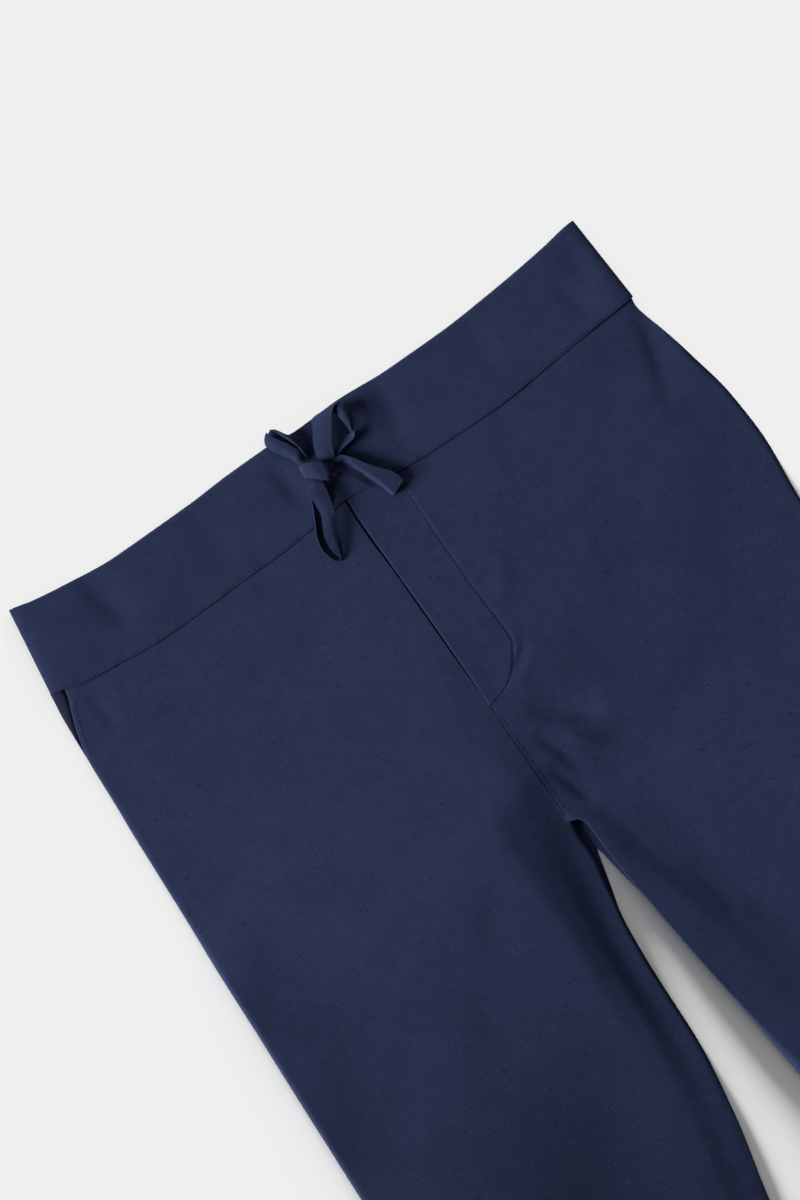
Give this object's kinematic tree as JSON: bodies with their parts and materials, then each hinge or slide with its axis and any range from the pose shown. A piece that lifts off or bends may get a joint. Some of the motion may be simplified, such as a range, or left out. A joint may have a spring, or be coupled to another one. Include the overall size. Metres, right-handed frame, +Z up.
{
  "type": "lounge trousers",
  "caption": "Full-length lounge trousers laid flat, face up, with a wide waistband, a tied flat drawstring, a fly, slant side pockets and plain turned hems.",
  "frame": {"origin": "middle of the garment's outline, on the surface it lies on", "axes": "+X to the wearer's left, +Y from the hems to the waist, +Z up out of the front"},
  "size_m": [0.5164, 1.06, 0.0179],
  "materials": {
    "cloth": "matte plain weave with fine slubs, navy",
    "cloth_inside": "the same cloth in the pocket mouths and behind the fly",
    "tape": "flat drawstring folded from the same cloth"
  },
  "bodies": {
    "root": {"waistband_front": "cloth", "waistband_back": "cloth", "front_right": "cloth", "front_left": "cloth", "fly_front": "cloth", "fly_underlap": "cloth_inside", "back_right": "cloth", "back_left": "cloth", "pocket_side_right": "cloth_inside", "pocket_side_left": "cloth_inside", "drawstring_knot": "tape", "drawstring_loop_upper": "tape", "drawstring_loop_lower": "tape", "drawstring_end_upper": "tape", "drawstring_end_lower": "tape"}
  },
  "joints": []
}
